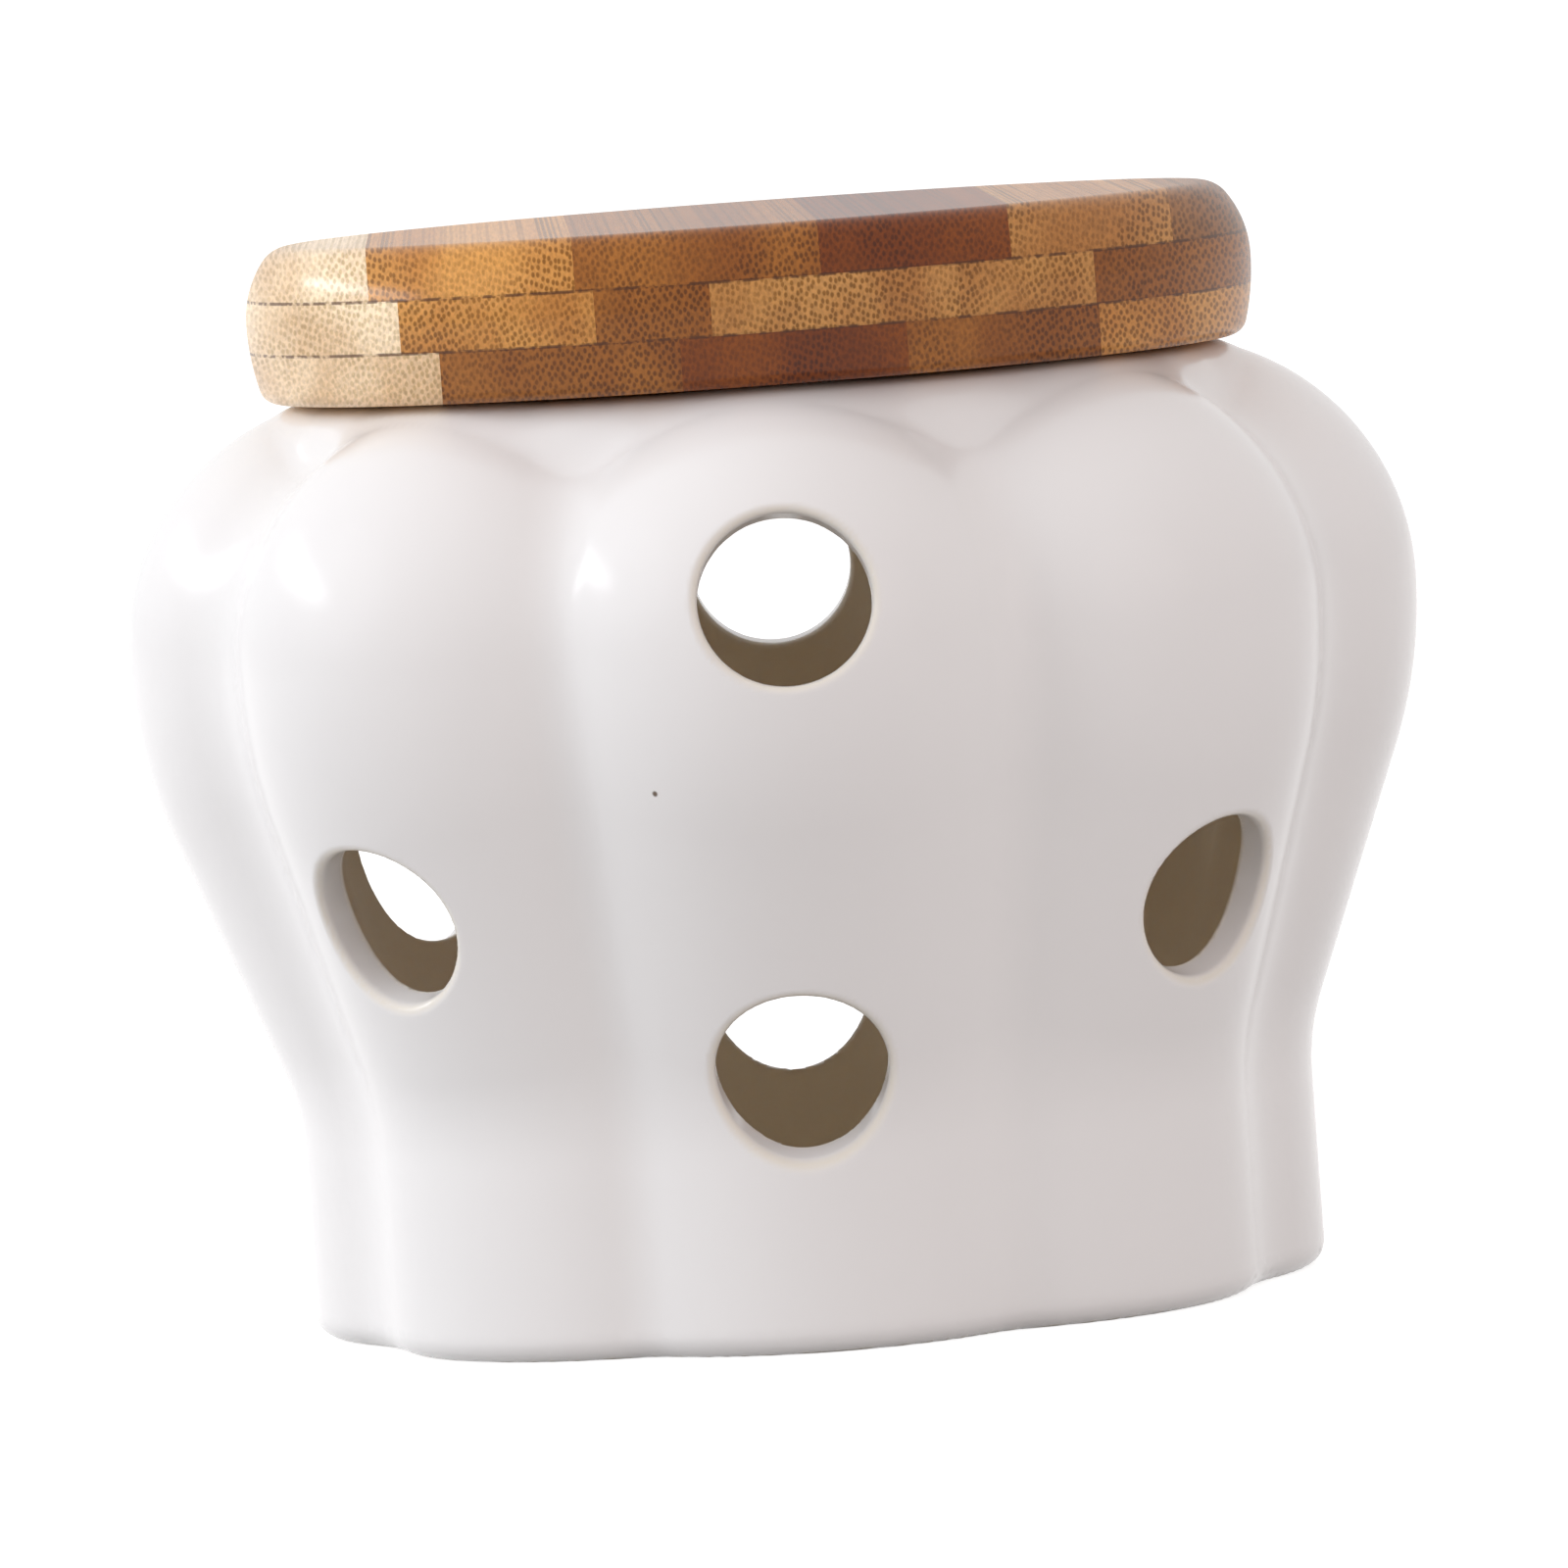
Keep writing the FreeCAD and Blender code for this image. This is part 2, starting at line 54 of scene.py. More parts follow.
# ---- sizes, in millimetres ---------------------------------------------------------------------------

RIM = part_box("pot")[1].z / MM
WALL = 3.8
FOOT_ROUND = 2.4
LIP_ROUND = 1.1
INNER_LIP_ROUND = 0.5

# A lobe's bar. Its centreline stands straight at the foot, flares out, and bends back at the belly.
LOBES = 8
PITCH = 2 * math.pi / LOBES
LOBE_RADIUS = 25.4
FOOT_REACH = 25.6
FOOT_STRAIGHT = 19.4
FLARE_BEND = 48.3
BELLY_BEND = 22.8
BELLY_REACH = 39.5
BELLY = RIM - 25.2

# How far each valley is softened, at three levels, and how many times as much it is on the pot's sides: in
# full where the sine of the azimuth is under the first limit, and not at all past the second.
VALLEY_AT_FOOT = 2.0
VALLEY_AT_BELLY = 3.8
VALLEY_AT_RIM = 6.5
SHOULDER = RIM - 14.0
SIDE_VALLEYS = 2.0
SIDE_LIMITS = (0.45, 0.85)

# The hollow under the foot, inside the ring that the pot stands on, and the floor above it.
RECESS_RADIUS = 41.0
RECESS_DEPTH = 1.2
POT_FLOOR = RECESS_DEPTH + 4.0

# The round neck that the lid stands on.
MOUTH_RADIUS = 40.5
NECK_RADIUS = MOUTH_RADIUS + 7.1
NECK_WALL = 3.0
NECK_ROUND = 4.5
NECK_FILLET = 2.2

# Each vent's azimuth from +X in degrees, and its middle's height above the foot on the lobe's crest.
VENT_RADIUS = 8.4
VENTS = {
    "front_upper": (270.0, 74.6),
    "front_lower": (268.5, 27.2),
    "front_left": (225.0, 43.6),
    "front_right": (315.0, 40.6),
    "back_upper": (88.6, 71.6),
    "back_lower": (90.0, 26.3),
    "back_left": (134.0, 42.6),
    "back_right": (45.0, 46.1),
}

FULL_CELL = 0.85
LIP_REACH = 2.2


# ---- form of the pot ---------------------------------------------------------------------------------

def smooth_step(low, high, value):
    """0 below low, 1 above high, and smooth between."""
    share = np.clip((value - low) / (high - low), 0, 1)
    return share * share * (3 - 2 * share)


def keep_both(first, second, radius):
    """Distance to what two forms share, its edge rounded to the radius."""
    corner = np.hypot(np.maximum(first + radius, 0), np.maximum(second + radius, 0))
    return np.minimum(-radius, np.maximum(first, second)) + corner


def join(first, second, radius):
    """Distance to two forms run together, with a fillet of the radius between them."""
    return -keep_both(-first, -second, radius)


VERY_FAR = 1e6

# Middles of the bar's two bends, as reach and height.
FLARE_MIDDLE = np.array([FOOT_REACH + FLARE_BEND, FOOT_STRAIGHT])
BELLY_MIDDLE = np.array([BELLY_REACH - BELLY_BEND, BELLY])


def bar_slope():
    """Lean of the bar's straight run from plumb, and where that run starts and ends."""
    across = BELLY_MIDDLE - FLARE_MIDDLE
    bends = FLARE_BEND + BELLY_BEND
    run = math.sqrt(across @ across - bends**2)
    lean = math.atan2(run * across[0] + bends * across[1], run * across[1] - bends * across[0])
    inward = np.array([math.cos(lean), -math.sin(lean)])
    return lean, FLARE_MIDDLE - inward * FLARE_BEND, BELLY_MIDDLE + inward * BELLY_BEND


LEAN, SLOPE_START, SLOPE_END = bar_slope()


def from_arc(x, z, middle, radius, low, high):
    """Distance in the plane to an arc between two angles, or a very large one beside it."""
    dx = x - middle[0]
    dz = z - middle[1]
    angle = np.arctan2(dz, dx) % (2 * math.pi)
    inside = (angle >= low % (2 * math.pi)) & (angle <= high)
    return np.where(inside, np.abs(np.hypot(dx, dz) - radius), VERY_FAR)


def bar(x, y, z):
    """Distance to a lobe's bar and ball end. The lobe points along x."""
    run = SLOPE_END - SLOPE_START
    share = np.clip(((x - SLOPE_START[0]) * run[0] + (z - SLOPE_START[1]) * run[1]) / (run @ run), 0, 1)
    in_plane = np.minimum.reduce([
        np.hypot(x - FOOT_REACH, np.maximum(z - FOOT_STRAIGHT, 0)),
        from_arc(x, z, FLARE_MIDDLE, FLARE_BEND, math.pi - LEAN, math.pi),
        np.hypot(x - SLOPE_START[0] - share * run[0], z - SLOPE_START[1] - share * run[1]),
        from_arc(x, z, BELLY_MIDDLE, BELLY_BEND, -LEAN, 2 * math.pi),
        np.hypot(x - BELLY_REACH, z - BELLY),
    ])
    return np.hypot(in_plane, y) - LOBE_RADIUS


def lobes(azimuth, reach, z):
    """Distance to the eight lobes run together. A valley is softer at the belly, shallow at the rim, and
    softer on the pot's sides than on its front and back."""
    off = np.abs((azimuth + PITCH / 2) % PITCH - PITCH / 2)
    near = bar(reach * np.cos(off), reach * np.sin(off), z)
    next_one = bar(reach * np.cos(PITCH - off), reach * np.sin(PITCH - off), z)
    soft = VALLEY_AT_FOOT + (VALLEY_AT_BELLY - VALLEY_AT_FOOT) * smooth_step(FOOT_STRAIGHT, BELLY, z)
    facing = smooth_step(*SIDE_LIMITS, np.abs(np.sin(azimuth)))
    soft = soft * (SIDE_VALLEYS + (1 - SIDE_VALLEYS) * facing)
    soft = soft + (VALLEY_AT_RIM - soft) * smooth_step(SHOULDER, RIM, z)
    blend = np.maximum(soft - np.abs(near - next_one), 0) / soft
    return np.minimum(near, next_one) - blend**2 * soft / 4


def bore_start(level):
    """Start and lean of a bore that is square to the crest at level: through the ball's centre, or from
    the bar's straight run."""
    if level > BELLY:
        return BELLY_REACH, BELLY, math.asin((level - BELLY) / LOBE_RADIUS)
    z = level + LOBE_RADIUS * math.sin(LEAN)
    return SLOPE_START[0] + (z - SLOPE_START[1]) * math.tan(LEAN), z, -LEAN


def bore(points, azimuth, level):
    """Distance to a vent's bore, which runs from the bar's centreline out through the wall."""
    turn = math.radians(azimuth)
    x, y, z = points.T
    outward = x * math.cos(turn) + y * math.sin(turn)
    sideways = y * math.cos(turn) - x * math.sin(turn)
    start_x, start_z, lean = bore_start(level)
    along = (outward - start_x) * math.cos(lean) + (z - start_z) * math.sin(lean)
    across = (z - start_z) * math.cos(lean) - (outward - start_x) * math.sin(lean)
    return np.sqrt(np.minimum(along, 0)**2 + across**2 + sideways**2) - VENT_RADIUS


def neck(reach, z, inset=0):
    """Distance to the round neck that closes the valleys at the rim, or to a smaller one inside it."""
    top = keep_both(reach - NECK_RADIUS, z - RIM, NECK_ROUND)
    return np.maximum(top + inset, BELLY - z)


def pot_forms(points):
    """Distances to the pot's outside, its cavity, its vents and the recess under its foot."""
    x, y, z = points.T
    reach = np.hypot(x, y)
    body = lobes(np.arctan2(y, x), reach, z)
    outside = keep_both(join(body, neck(reach, z), NECK_FILLET), z - RIM, LIP_ROUND)
    outside = keep_both(outside, -z, FOOT_ROUND)
    hollow = np.minimum.reduce([body + WALL, neck(reach, z, NECK_WALL), reach - MOUTH_RADIUS])
    cavity = keep_both(hollow, POT_FLOOR - z, FOOT_ROUND)
    recess = np.maximum(reach - RECESS_RADIUS, z - RECESS_DEPTH)
    vents = np.minimum.reduce([bore(points, *place) for place in VENTS.values()])
    return outside, cavity, vents, recess


def pot_distance(points):
    """Distance to the whole pot, with every edge rounded."""
    outside, cavity, vent, recess = pot_forms(points)
    shell = keep_both(outside, -vent, LIP_ROUND)
    lining = keep_both(keep_both(-cavity, -vent, INNER_LIP_ROUND), points[:, 2] - RIM, LIP_ROUND)
    return keep_both(np.maximum(shell, lining), -recess, INNER_LIP_ROUND)


def steepest(points):
    """Which way the distance grows, for each point."""
    step = 0.01
    slopes = []
    for axis in np.eye(3) * step:
        slopes.append((pot_distance(points + axis) - pot_distance(points - axis)) / (2 * step))
    return np.stack(slopes, axis=1)


def settle(points, rounds=8):
    """Move points onto the pot's surface, by 0.4 mm at most in each round."""
    longest = 0.4
    flattest = 0.05
    for _ in range(rounds):
        slope = steepest(points)
        size = np.maximum((slope**2).sum(axis=1, keepdims=True), flattest)
        step = pot_distance(points)[:, None] * slope / size
        points = points - np.clip(step, -longest, longest)
    return points


# ---- pot's mesh --------------------------------------------------------------------------------------

def read_points(mesh):
    """The mesh's points in millimetres."""
    flat = np.empty(len(mesh.vertices) * 3)
    mesh.vertices.foreach_get("co", flat)
    return flat.reshape(-1, 3) / MM


def write_points(mesh, points):
    mesh.vertices.foreach_set("co", (points * MM).ravel())
    mesh.update()


def even_skin(name, source, cell):
    """A closed skin of even quads round a CAD node, in a new object."""
    rough = bpy.data.objects.new(f"{name}_rough", source.data.copy())
    bpy.context.scene.collection.objects.link(rough)
    remesh = rough.modifiers.new("even_quads", "REMESH")
    remesh.mode = "VOXEL"
    remesh.voxel_size = cell * MM
    graph = bpy.context.evaluated_depsgraph_get()
    mesh = bpy.data.meshes.new_from_object(rough.evaluated_get(graph))
    bpy.data.objects.remove(rough)
    mesh.name = name
    mesh.materials.clear()
    skin = bpy.data.objects.new(name, mesh)
    bpy.context.scene.collection.objects.link(skin)
    return skin


def refine_lips(mesh):
    """Split the edges that lie near a vent's lips."""
    outside, cavity, vent, _ = pot_forms(read_points(mesh))
    near_wall = (np.abs(outside) < LIP_REACH) | (np.abs(cavity) < LIP_REACH)
    near_lip = (np.abs(vent) < LIP_REACH) & near_wall
    edit = bmesh.new()
    edit.from_mesh(mesh)
    edit.verts.ensure_lookup_table()
    chosen = [e for e in edit.edges if near_lip[e.verts[0].index] and near_lip[e.verts[1].index]]
    bmesh.ops.subdivide_edges(edit, edges=chosen, cuts=1, use_grid_fill=True)
    edit.to_mesh(mesh)
    edit.free()


def paint(mesh, name, values):
    """Store a value for each point, for a material to read by name."""
    layer = mesh.attributes.new(name, "FLOAT", "POINT")
    layer.data.foreach_set("value", values.astype(np.float32))


def make_pot():
    """The glazed pot, in place of its CAD node: rounded lips, soft valleys and a bare, unglazed inside."""
    pot = even_skin("glazed_pot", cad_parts["pot"], FULL_CELL)
    mesh = pot.data
    write_points(mesh, settle(read_points(mesh)))
    refine_lips(mesh)
    points = settle(read_points(mesh), rounds=4)
    write_points(mesh, points)
    outside, cavity, vent, _ = pot_forms(points)
    edge = np.maximum(np.abs(outside), np.minimum(np.abs(vent), RIM - points[:, 2]))
    # Each finish fades out between two distances: from the lining, from a lip, and from the ground foot.
    paint(mesh, "bare", 1 - smooth_step(0.15, 0.7, cavity))
    paint(mesh, "thin_glaze", 1 - smooth_step(0.2, 1.1, edge))
    paint(mesh, "ground", 1 - smooth_step(0.02, 0.12, points[:, 2]))
    mesh.polygons.foreach_set("use_smooth", [True] * len(mesh.polygons))
    slope = steepest(points)
    slope /= np.linalg.norm(slope, axis=1, keepdims=True)
    mesh.normals_split_custom_set_from_vertices(slope.tolist())
    mesh.materials.append(glazed_stoneware())
    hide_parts("pot")
    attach(pot, "pot")


# ---- materials ---------------------------------------------------------------------------------------

# A colour mix's inputs and output go by number, because its names are shared by mixes of other kinds.
FACTOR = 0
FIRST = 6
SECOND = 7
MIXED = 2
COLOURS = {"data_type": "RGBA"}
COLOURS_MULTIPLIED = {"data_type": "RGBA", "blend_type": "MULTIPLY"}
SMOOTH = {"interpolation_type": "SMOOTHSTEP"}
MULTIPLY = {"operation": "MULTIPLY"}


def colour(hex_code):
    """An sRGB hex colour as the linear red, green, blue and alpha that a socket takes."""
    values = [int(hex_code[i:i + 2], 16) / 255 for i in (1, 3, 5)]
    return (*(v / 12.92 if v <= 0.04045 else ((v + 0.055) / 1.055)**2.4 for v in values), 1)


def per_metre(size):
    """How many of a pattern's marks go to a metre, from their size in millimetres."""
    return 1 / (size * MM)


def connect(owner, node, links):
    """Set a node's inputs, each to a value or to another node's output."""
    for name, value in links.items():
        if isinstance(value, bpy.types.NodeSocket):
            owner.node_tree.links.new(value, node.inputs[name])
        else:
            node.inputs[name].default_value = value


def add_node(owner, kind, settings, links, output=0):
    """Add a shader node to a material or the world, and give one of its outputs. Settings are the node's
    properties, and links are its inputs."""
    node = owner.node_tree.nodes.new(kind)
    for name, value in settings.items():
        setattr(node, name, value)
    connect(owner, node, links)
    return node.outputs[output]


def new_material(name):
    """A material, its surface shader, and the place on the object that its patterns are drawn by."""
    material = bpy.data.materials.new(name)
    material.use_nodes = True
    surface = material.node_tree.nodes["Principled BSDF"]
    place = add_node(material, "ShaderNodeTexCoord", {}, {}, "Object")
    return material, surface, place


# Sizes of the stoneware's patterns in millimetres: clouds in the glaze, its orange peel, and the clay's
# grit.
CLOUD = 25
PEEL = 6.25
GRIT = 10 / 9

# A single iron speck that came up through the glaze on the front lobe, in millimetres: its place, the
# radius that it is solid to and the one that it is gone at.
SPECK = (-13.7, -59.0, 56.2)
SPECK_SOLID = 0.15
SPECK_GONE = 0.4


def speck(material, place):
    """1 on the iron speck and 0 elsewhere."""
    off = add_node(material, "ShaderNodeVectorMath", {"operation": "DISTANCE"},
                   {0: place, 1: [value * MM for value in SPECK]}, "Value")
    return add_node(material, "ShaderNodeMapRange", SMOOTH,
                    {"Value": off, "From Min": SPECK_SOLID * MM, "From Max": SPECK_GONE * MM,
                     "To Min": 1, "To Max": 0})


def glazed_stoneware():
    """White slip-cast stoneware under a clear gloss glaze: glassy, with a faint orange peel. The glaze runs
    thin and cream on the lips. The inside is bare, fired to a warm buff, and so is the ground foot."""
    material, surface, place = new_material("glazed_stoneware")
    bare, thin, ground = (
        add_node(material, "ShaderNodeAttribute", {"attribute_name": name}, {}, "Fac")
        for name in ("bare", "thin_glaze", "ground"))
    cloud = add_node(material, "ShaderNodeTexNoise", {},
                     {"Vector": place, "Scale": per_metre(CLOUD), "Detail": 2})
    white = add_node(material, "ShaderNodeMix", COLOURS,
                     {FACTOR: cloud, FIRST: colour("#EBEAE9"), SECOND: colour("#EFEEED")}, MIXED)
    cream = add_node(material, "ShaderNodeMath", MULTIPLY, {0: thin, 1: 0.45})
    glaze = add_node(material, "ShaderNodeMix", COLOURS,
                     {FACTOR: cream, FIRST: white, SECOND: colour("#DDD0B2")}, MIXED)
    glaze = add_node(material, "ShaderNodeMix", COLOURS,
                     {FACTOR: speck(material, place), FIRST: glaze, SECOND: colour("#6A5A4C")}, MIXED)
    grog = add_node(material, "ShaderNodeTexNoise", {},
                    {"Vector": place, "Scale": per_metre(GRIT), "Detail": 6})
    clay = add_node(material, "ShaderNodeMix", COLOURS,
                    {FACTOR: grog, FIRST: colour("#FCF6E6"), SECOND: colour("#FFFCF2")}, MIXED)
    unglazed = add_node(material, "ShaderNodeMath", {"operation": "MAXIMUM"}, {0: bare, 1: ground})
    finish = add_node(material, "ShaderNodeMix", COLOURS,
                      {FACTOR: unglazed, FIRST: glaze, SECOND: clay}, MIXED)
    matt = add_node(material, "ShaderNodeMapRange", SMOOTH,
                    {"Value": unglazed, "From Min": 0, "From Max": 1, "To Min": 0.2, "To Max": 0.8})
    peel = add_node(material, "ShaderNodeTexNoise", {},
                    {"Vector": place, "Scale": per_metre(PEEL), "Detail": 1})
    relief = add_node(material, "ShaderNodeBump", {},
                      {"Strength": 0.25, "Distance": 0.04 * MM, "Height": peel})
    connect(material, surface, {
        "Base Color": finish,
        "Roughness": matt,
        "IOR": 1.5,
        "Specular IOR Level": 0.35,
        "Normal": relief,
    })
    return material


# Tones of bamboo, from the raw strips to the ones that were steamed longest.
STRAW = "#FFE7C4"
WHEAT = "#E6B578"
HONEY = "#CC9452"
AMBER = "#D89B50"
CHESTNUT = "#A26526"
UMBER = "#87450B"
ROSE = "#9A6632"

# Each slat's tone, from -X to +X.
TONES = {
    "lid_top": (STRAW, AMBER, CHESTNUT, UMBER, HONEY, ROSE),
    "lid_middle": (STRAW, AMBER, CHESTNUT, HONEY, HONEY, CHESTNUT),
    "lid_bottom": (STRAW, CHESTNUT, UMBER, CHESTNUT, AMBER),
    "plug_upper": (HONEY, WHEAT, CHESTNUT, AMBER, WHEAT),
    "plug_lower": (WHEAT, AMBER, HONEY, UMBER),
}

# Sizes of the bamboo's patterns in millimetres: the spacing of its fibre bundles, the stretches where they
# crowd, patches of darker wood, single fibres, and breaks in the glue line. The first four are drawn out
# along the fibres.
BUNDLE_PITCH = 0.5
CROWD = 100 / 11
PATCH = 100 / 9
FIBRE = 2 / 7
GLUE_BREAK = 10 / 7
DRAWN_OUT = (1, 0.02, 0.65)

# The bundles' rows slant by one of three angles, and each slat is cut from another place in the stem.
ROW_SLANTS = (25, 50, 75)
CUT_SHIFT = (0.37, 0.73, 0.19)

# A ply's thickness, and how far from the joint a glue line is solid and gone, in millimetres.
PLY = (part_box("lid_middle_slat_1")[1].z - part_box("lid_middle_slat_1")[0].z) / MM
GLUE_SOLID = 0.08
GLUE_GONE = 0.22


def glue_line(material, place):
    """Dark, broken hairline where two plies of the lid meet."""
    height = add_node(material, "ShaderNodeSeparateXYZ", {}, {"Vector": place}, "Z")
    off = []
    for level in (1, 2):
        above = add_node(material, "ShaderNodeMath", {"operation": "SUBTRACT"},
                         {0: height, 1: (RIM + level * PLY) * MM})
        off.append(add_node(material, "ShaderNodeMath", {"operation": "ABSOLUTE"}, {0: above}))
    nearest = add_node(material, "ShaderNodeMath", {"operation": "MINIMUM"}, {0: off[0], 1: off[1]})
    line = add_node(material, "ShaderNodeMapRange", SMOOTH,
                    {"Value": nearest, "From Min": GLUE_SOLID * MM, "From Max": GLUE_GONE * MM,
                     "To Min": 1, "To Max": 0})
    breaks = add_node(material, "ShaderNodeTexNoise", {},
                      {"Vector": place, "Scale": per_metre(GLUE_BREAK), "Detail": 1})
    whole = add_node(material, "ShaderNodeMapRange", SMOOTH,
                     {"Value": breaks, "From Min": 0.4, "From Max": 0.55, "To Min": 0.15, "To Max": 0.8})
    return add_node(material, "ShaderNodeMath", MULTIPLY, {0: line, 1: whole})


def bamboo(name, tone, seed):
    """Laminated bamboo under a thin gloss lacquer. Its brown fibre bundles run along Y, 0.5 mm apart in
    slanting rows: flecks on the slats' ends and long streaks along them. They fade towards the stem's soft
    inner side, and stand out least in the raw strips."""
    material, surface, place = new_material(name)
    slant = math.radians(ROW_SLANTS[seed % len(ROW_SLANTS)])
    along = add_node(material, "ShaderNodeMapping", {},
                     {"Vector": place, "Location": [seed * share for share in CUT_SHIFT],
                      "Rotation": (math.pi / 2, 0, slant), "Scale": DRAWN_OUT})
    bundles = add_node(material, "ShaderNodeTexVoronoi", {"voronoi_dimensions": "2D"},
                       {"Vector": along, "Scale": per_metre(BUNDLE_PITCH), "Randomness": 0.55}, "Distance")
    strength = 0.5 if tone == STRAW else 0.85
    flecks = add_node(material, "ShaderNodeMapRange", SMOOTH,
                      {"Value": bundles, "From Min": 0.2, "From Max": 0.48, "To Min": strength, "To Max": 0})
    crowding = add_node(material, "ShaderNodeTexNoise", {},
                        {"Vector": along, "Scale": per_metre(CROWD), "Detail": 2})
    crowd = add_node(material, "ShaderNodeMapRange", SMOOTH,
                     {"Value": crowding, "From Min": 0.36, "From Max": 0.6, "To Min": 0.45, "To Max": 1})
    shown = add_node(material, "ShaderNodeMath", MULTIPLY, {0: flecks, 1: crowd})
    patching = add_node(material, "ShaderNodeTexNoise", {},
                        {"Vector": along, "Scale": per_metre(PATCH), "Detail": 3})
    patches = add_node(material, "ShaderNodeMapRange", SMOOTH,
                       {"Value": patching, "From Min": 0.35, "From Max": 0.65, "To Min": 0, "To Max": 0.8})
    dark = add_node(material, "ShaderNodeMix", COLOURS_MULTIPLIED,
                    {FACTOR: 1, FIRST: colour(tone), SECOND: colour("#D2BCA2")}, MIXED)
    base = add_node(material, "ShaderNodeMix", COLOURS,
                    {FACTOR: patches, FIRST: colour(tone), SECOND: dark}, MIXED)
    brown = add_node(material, "ShaderNodeMix", COLOURS_MULTIPLIED,
                     {FACTOR: 1, FIRST: base, SECOND: colour("#A09248")}, MIXED)
    wood = add_node(material, "ShaderNodeMix", COLOURS, {FACTOR: shown, FIRST: base, SECOND: brown}, MIXED)
    fibres = add_node(material, "ShaderNodeTexNoise", {},
                      {"Vector": along, "Scale": per_metre(FIBRE), "Detail": 3})
    grain = add_node(material, "ShaderNodeMapRange", SMOOTH,
                     {"Value": fibres, "From Min": 0.3, "From Max": 0.7, "To Min": 0.85, "To Max": 1.12})
    wood = add_node(material, "ShaderNodeMix", COLOURS_MULTIPLIED,
                    {FACTOR: 1, FIRST: wood, SECOND: grain}, MIXED)
    wood = add_node(material, "ShaderNodeMix", COLOURS,
                    {FACTOR: glue_line(material, place), FIRST: wood, SECOND: colour("#4A2710")}, MIXED)
    relief = add_node(material, "ShaderNodeBump", {},
                      {"Strength": 0.2, "Distance": 0.03 * MM, "Height": flecks})
    connect(material, surface, {
        "Base Color": wood,
        "Roughness": 0.5,
        "IOR": 1.5,
        "Specular IOR Level": 0.0,
        "Coat Weight": 0.6,
        "Coat Roughness": 0.18,
        "Normal": relief,
    })
    return material


# Size of the milky patches in the silicone, in millimetres.
HAZE = 10 / 3


def silicone():
    """Moulded food-grade silicone: milky, faintly hazed, with the soft sheen of a matt mould."""
    material, surface, place = new_material("milky_silicone")
    haze = add_node(material, "ShaderNodeTexNoise", {},
                    {"Vector": place, "Scale": per_metre(HAZE), "Detail": 2})
    milky = add_node(material, "ShaderNodeMix", COLOURS,
                     {FACTOR: haze, FIRST: colour("#DEDCD6"), SECOND: colour("#E8E6E1")}, MIXED)
    connect(material, surface, {"Base Color": milky, "Roughness": 0.45, "IOR": 1.41})
    return material


def finish_lid():
    """Give each slat its own bamboo, and the seal its silicone."""
    for ply_number, (ply, tones) in enumerate(TONES.items()):
        for number, tone in enumerate(tones, 1):
            name = f"{ply}_slat_{number}"
            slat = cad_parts[name]
            slat.data.materials.clear()
            slat.data.materials.append(bamboo(f"bamboo_{name}", tone, 7 * ply_number + number))
    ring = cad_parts["seal_ring"]
    ring.data.materials.clear()
    ring.data.materials.append(silicone())


# ---- studio ------------------------------------------------------------------------------------------

# The lens and sensor in millimetres. The camera's place and target are in metres, before both are turned
# about the pot's axis, and the turn and the roll are in degrees.
LENS = 297.65
SENSOR = 36
CAMERA_PLACE = Vector((0, -1.3014, 0.1432))
CAMERA_TARGET = Vector((-0.00004, 0, 0.0521))
CAMERA_TURN = -1.2
CAMERA_ROLL = -4.17

# Half the floor's width, in metres.
FLOOR_REACH = 60

# The object's middle in metres, which the lamps aim at.
MIDDLE = Vector((0, 0, 0.055))

# Each lamp's azimuth from +X and elevation in degrees, its distance, width and height in metres, its power
# in watts and its tint.
WINDOW = (161, 24, 1.2, 1.0, 0.13, 2.2, "#F7FAFF")
FILL_LAMPS = {
    "pale_wall": (190, 26, 1.6, 1.4, 1.2, 13.6, "#F7FAFF"),
    "room": (305, 16, 1.6, 1.4, 1.1, 6.6, "#FFF1EF"),
    "ceiling": (270, 86, 1.5, 1.2, 1.2, 1.0, "#FFFFFF"),
}


def make_camera():
    """Long lens a little above the pot's middle and left of its front, rolled so that the pot leans to the
    left."""
    aside = Quaternion((0, 0, 1), math.radians(CAMERA_TURN))
    place = aside @ CAMERA_PLACE
    target = aside @ CAMERA_TARGET
    data = bpy.data.cameras.new("camera")
    data.lens = LENS
    data.sensor_width = SENSOR
    camera = bpy.data.objects.new("camera", data)
    camera.location = place
    camera.rotation_mode = "QUATERNION"
    roll = Quaternion((0, 0, 1), math.radians(CAMERA_ROLL))
    camera.rotation_quaternion = (target - place).to_track_quat("-Z", "Y") @ roll
    bpy.context.scene.collection.objects.link(camera)
    bpy.context.scene.camera = camera


def seen_directly(owner):
    """1 for what the camera sees, by itself, in a reflection or through glass, and 0 for what lights the
    object."""
    camera_ray = add_node(owner, "ShaderNodeLightPath", {}, {}, "Is Camera Ray")
    seen = camera_ray
    for kind in ("Is Glossy Ray", "Is Transmission Ray"):
        seen = add_node(owner, "ShaderNodeMath", {"operation": "MAXIMUM"},
                        {0: seen, 1: camera_ray.node.outputs[kind]})
    return seen


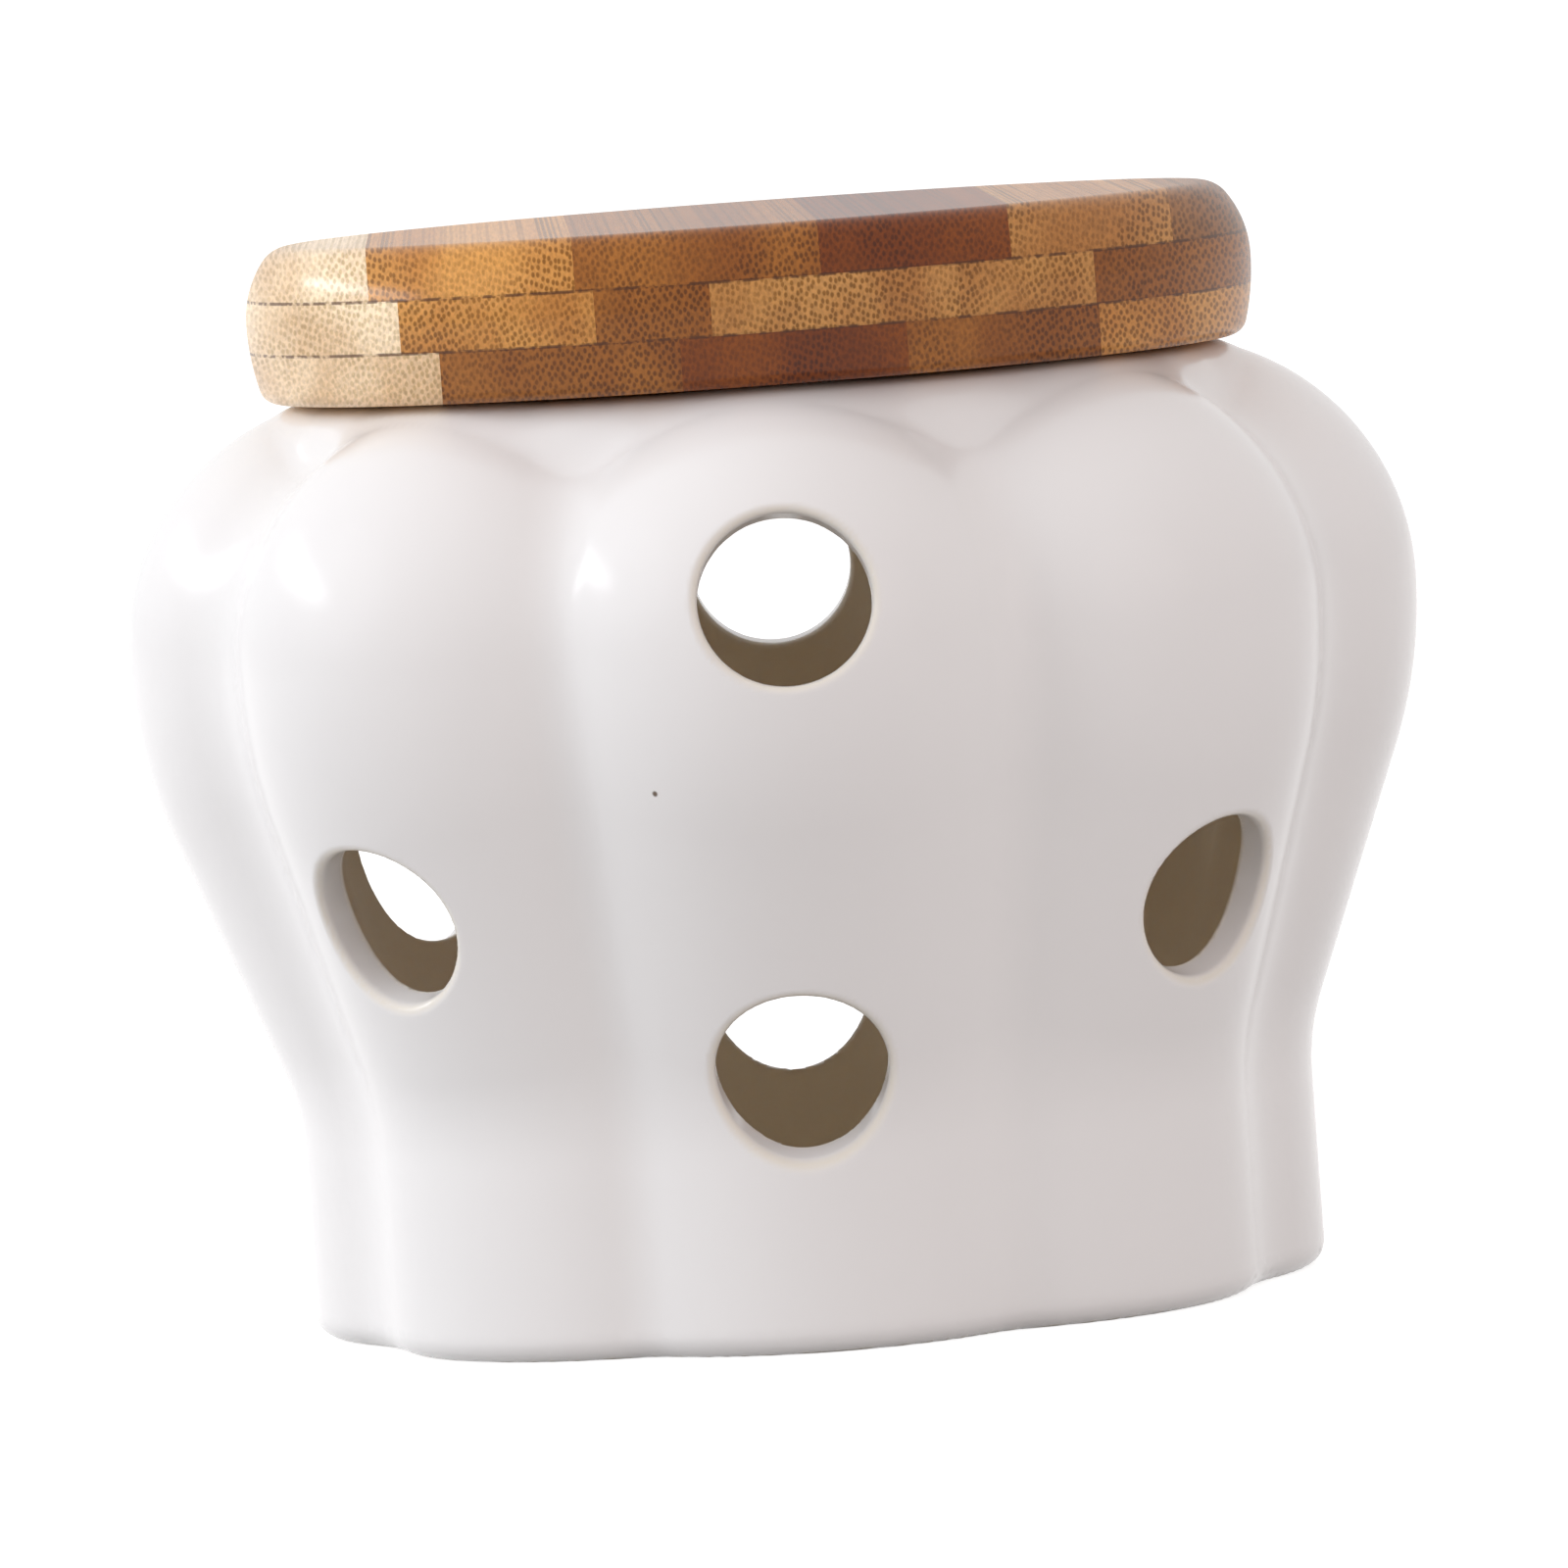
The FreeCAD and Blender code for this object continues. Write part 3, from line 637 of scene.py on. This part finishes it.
def make_world():
    """Even, slightly warm light from all round, plain white where it is seen."""
    world = bpy.data.worlds.new("studio")
    world.use_nodes = True
    bpy.context.scene.world = world
    shade = world.node_tree.nodes["Background"]
    connect(world, shade, {"Color": colour("#FFFAFA"), "Strength": 0.6})
    white = add_node(world, "ShaderNodeBackground", {}, {"Color": colour("#FFFFFF"), "Strength": 1})
    mixed = add_node(world, "ShaderNodeMixShader", {},
                     {0: seen_directly(world), 1: shade.outputs[0], 2: white})
    connect(world, world.node_tree.nodes["World Output"], {"Surface": mixed})


def make_floor():
    """Plain pale floor, lifted to white where it is seen, so that only the shadow shows."""
    edit = bmesh.new()
    bmesh.ops.create_grid(edit, x_segments=1, y_segments=1, size=FLOOR_REACH)
    mesh = bpy.data.meshes.new("floor")
    edit.to_mesh(mesh)
    edit.free()
    floor = bpy.data.objects.new("floor", mesh)
    bpy.context.scene.collection.objects.link(floor)
    material, surface, _ = new_material("pale_floor")
    lift = add_node(material, "ShaderNodeMath", MULTIPLY, {0: seen_directly(material), 1: 0.8})
    connect(material, surface, {
        "Base Color": colour("#B4B3B2"),
        "Roughness": 0.9,
        "Emission Color": colour("#FFFFFF"),
        "Emission Strength": lift,
    })
    mesh.materials.append(material)


def add_lamp(name, azimuth, elevation, distance, width, height, power, tint):
    """A soft lamp aimed at the object's middle."""
    data = bpy.data.lights.new(name, "AREA")
    data.shape = "ELLIPSE"
    data.size = width
    data.size_y = height
    data.energy = power
    data.color = colour(tint)[:3]
    lamp = bpy.data.objects.new(name, data)
    turn = math.radians(azimuth)
    rise = math.radians(elevation)
    outward = Vector((math.cos(turn) * math.cos(rise), math.sin(turn) * math.cos(rise), math.sin(rise)))
    lamp.location = MIDDLE + outward * distance
    lamp.rotation_mode = "QUATERNION"
    lamp.rotation_quaternion = (-outward).to_track_quat("-Z", "Y")
    bpy.context.scene.collection.objects.link(lamp)
    return lamp


def make_studio():
    """Camera, world, floor and lamps. Of the lamps, only the window is mirrored in the glaze."""
    make_camera()
    make_world()
    make_floor()
    add_lamp("window", *WINDOW)
    for name, setting in FILL_LAMPS.items():
        add_lamp(name, *setting).visible_glossy = False
    # Light that comes in through the vents is thrown from wall to wall inside the pot.
    bpy.context.scene.cycles.diffuse_bounces = 12
    bpy.context.scene.view_settings.view_transform = "Standard"


make_pot()
finish_lid()
make_studio()
